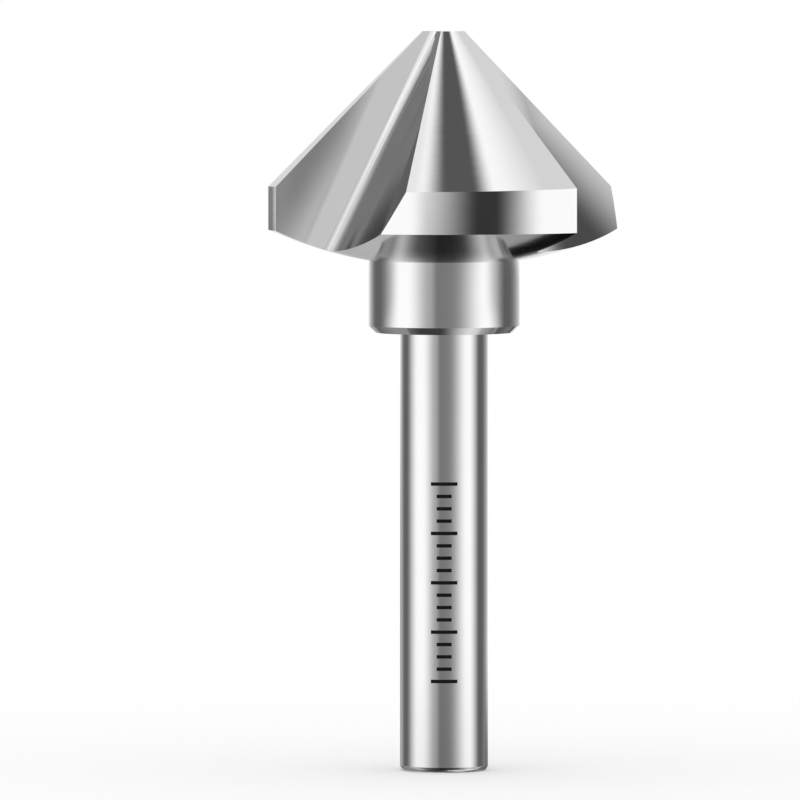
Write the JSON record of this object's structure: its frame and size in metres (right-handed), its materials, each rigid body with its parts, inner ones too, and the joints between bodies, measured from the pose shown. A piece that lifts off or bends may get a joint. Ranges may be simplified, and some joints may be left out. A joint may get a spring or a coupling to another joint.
{
  "type": "countersink bit",
  "caption": "Countersink bit with a fluted conical cutting head, a collar and a straight round shank, for flaring the mouths of drilled holes.",
  "frame": {"origin": "centre of the flat end of the shank, which the bit stands on", "axes": "+Z along the bit's axis from the shank's end to the tip; -Y is the side that the picture shows; the first cutting edge lies 198 degrees round from +X"},
  "size_m": [0.0397, 0.0396, 0.084],
  "materials": {
    "ground_steel": "bright, finely ground high-speed steel",
    "etched_mark": "matt black laser etching"
  },
  "bodies": {
    "root": {"countersink_bit": "ground_steel"}
  },
  "joints": []
}
